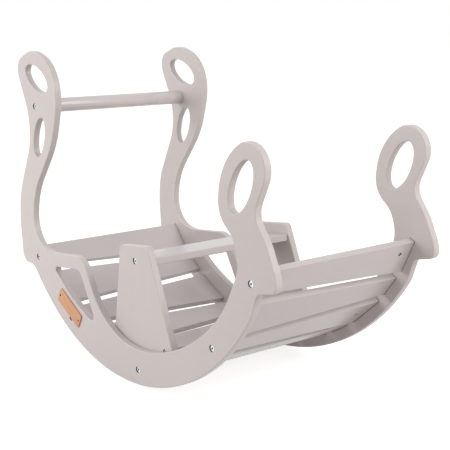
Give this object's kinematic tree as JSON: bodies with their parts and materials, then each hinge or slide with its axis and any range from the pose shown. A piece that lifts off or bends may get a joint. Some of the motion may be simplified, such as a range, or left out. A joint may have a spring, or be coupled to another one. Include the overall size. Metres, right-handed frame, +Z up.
{
  "type": "rocking climbing arch",
  "caption": "Painted wooden climbing arch and rocker with curved side plates, cross boards, hand holes, a grab bar and a lift-out seat.",
  "frame": {"origin": "on the floor under the middle of the bounding box, with the arch at rest in its natural lean towards the tall horns", "axes": "+X from the tall horns towards the short horns, +Y from the near side plate, which carries the tag plate, towards the far one, +Z up"},
  "size_m": [1.1134, 0.5046, 0.8011],
  "materials": {
    "paint": "satin warm grey paint on wood",
    "zinc": "zinc plated steel",
    "tag": "bare orange-brown wood",
    "nail": "blackened steel"
  },
  "bodies": {
    "arch": {"near_side_plate": "paint", "far_side_plate": "paint", "slat_1": "paint", "slat_2": "paint", "slat_3": "paint", "slat_4": "paint", "slat_5": "paint", "slat_6": "paint", "slat_7": "paint", "slat_8": "paint", "slat_9": "paint", "slat_10": "paint", "slat_11": "paint", "grab_bar": "paint", "near_slat_bolts": "zinc", "far_slat_bolts": "zinc", "near_slat_nuts": "zinc", "far_slat_nuts": "zinc", "bar_bolts": "zinc", "bar_inserts": "zinc", "tag_plate": "tag", "tag_nails": "nail"},
    "seat": {"seat_near_panel": "paint", "seat_far_panel": "paint", "seat_board": "paint", "seat_near_batten": "paint", "seat_far_batten": "paint", "seat_bolts": "zinc", "seat_nuts": "zinc", "seat_foot_bolts": "zinc", "seat_foot_inserts": "zinc"}
  },
  "joints": [
    {"name": "seat_lift", "type": "slide", "parent": "arch", "child": "seat", "axis": [-0.1331, 0, 0.9911], "range_m": [0, 0.3]}
  ]
}
